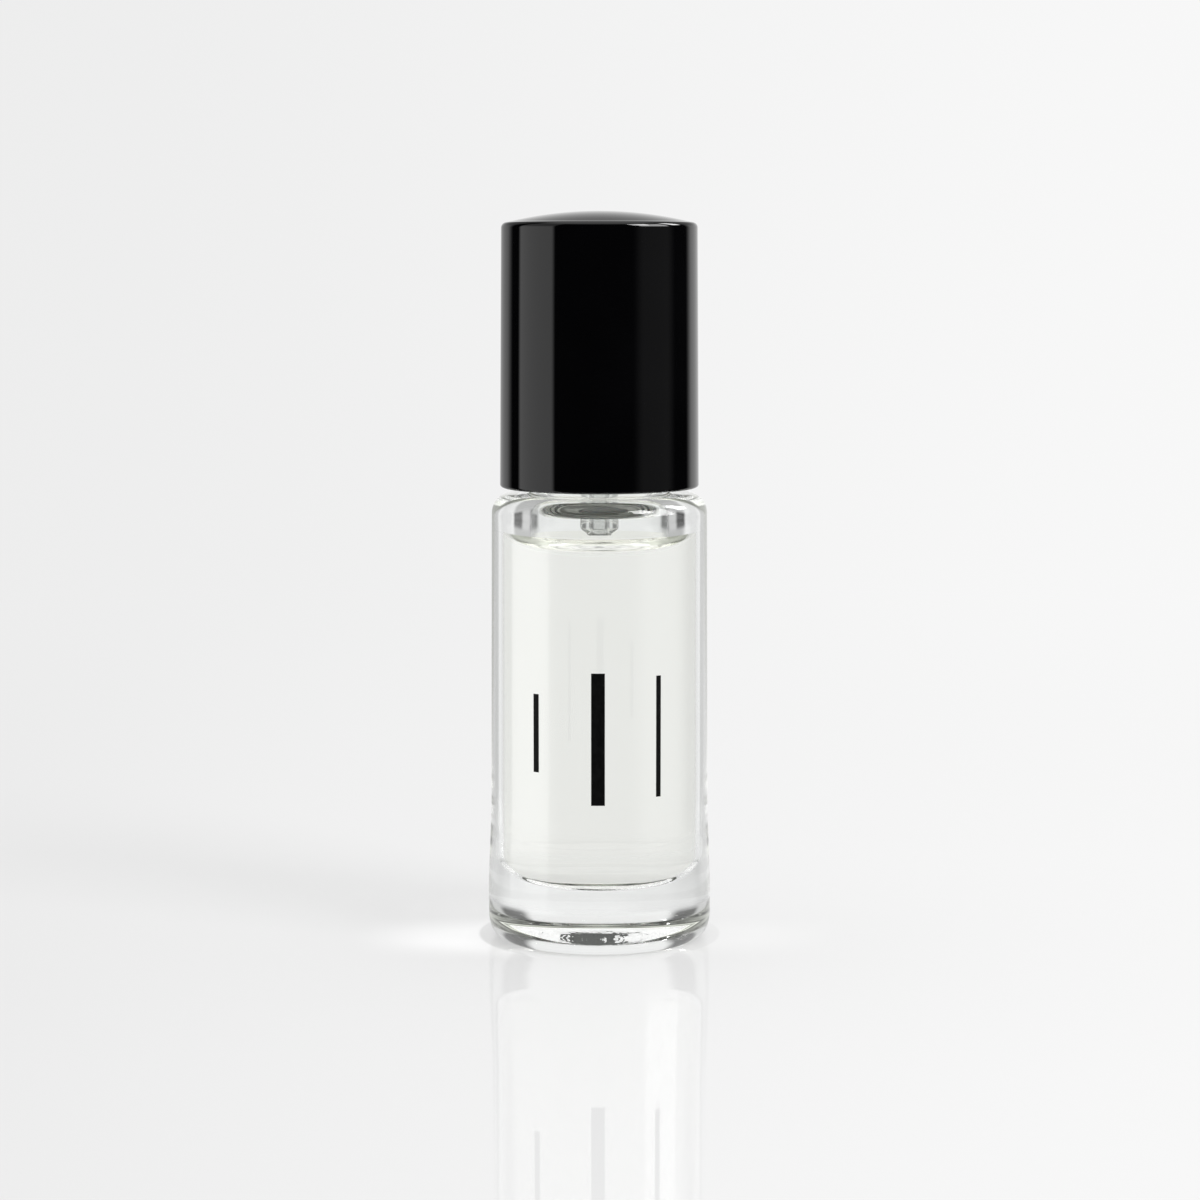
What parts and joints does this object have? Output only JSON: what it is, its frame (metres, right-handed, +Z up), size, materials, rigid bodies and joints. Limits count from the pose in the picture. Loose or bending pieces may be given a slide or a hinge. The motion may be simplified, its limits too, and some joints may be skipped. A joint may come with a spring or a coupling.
{
  "type": "perfume oil bottle",
  "caption": "Small roll-on bottle of thick clear glass, nearly full of pale oil, with a steel roller ball under a tall gloss black screw cap with a low domed top.",
  "frame": {"origin": "centre of the base, on the surface that the bottle stands on", "axes": "+Z up along the bottle's axis, -Y towards the viewer of the picture"},
  "size_m": [0.0218, 0.0218, 0.0704],
  "materials": {
    "clear_glass": "clear polished flint glass",
    "pale_oil": "clear pale yellow-green oil",
    "natural_polyethylene": "milky natural polyethylene, satin",
    "polished_steel": "mirror-polished stainless steel",
    "soft_white": "soft white sealing disc",
    "white_polypropylene": "satin white polypropylene",
    "gloss_black": "high-gloss black moulded plastic"
  },
  "bodies": {
    "bottle": {"glass_bottle": "clear_glass", "perfume_oil": "pale_oil", "roller_housing": "natural_polyethylene"},
    "ball": {"roller_ball": "polished_steel"},
    "cap_carrier": {"cap_seal": "soft_white"},
    "cap": {"cap_liner": "white_polypropylene", "cap_shell": "gloss_black"}
  },
  "joints": [
    {"name": "ball_roll", "type": "hinge", "parent": "bottle", "child": "ball", "pos_m": [0, 0, 0.05505], "axis": [1, 0, 0], "continuous": true},
    {"name": "cap_lift", "type": "slide", "parent": "bottle", "child": "cap_carrier", "axis": [0, 0, 1], "range_m": [0, 0.024]},
    {"name": "cap_turn", "type": "hinge", "parent": "cap_carrier", "child": "cap", "pos_m": [0, 0, 0.04395], "axis": [0, 0, 1], "range_deg": [0, 2880]}
  ],
  "couplings": [
    {"joint": "cap_lift", "follows": "cap_turn", "m_per_rad": 0.00047746}
  ]
}
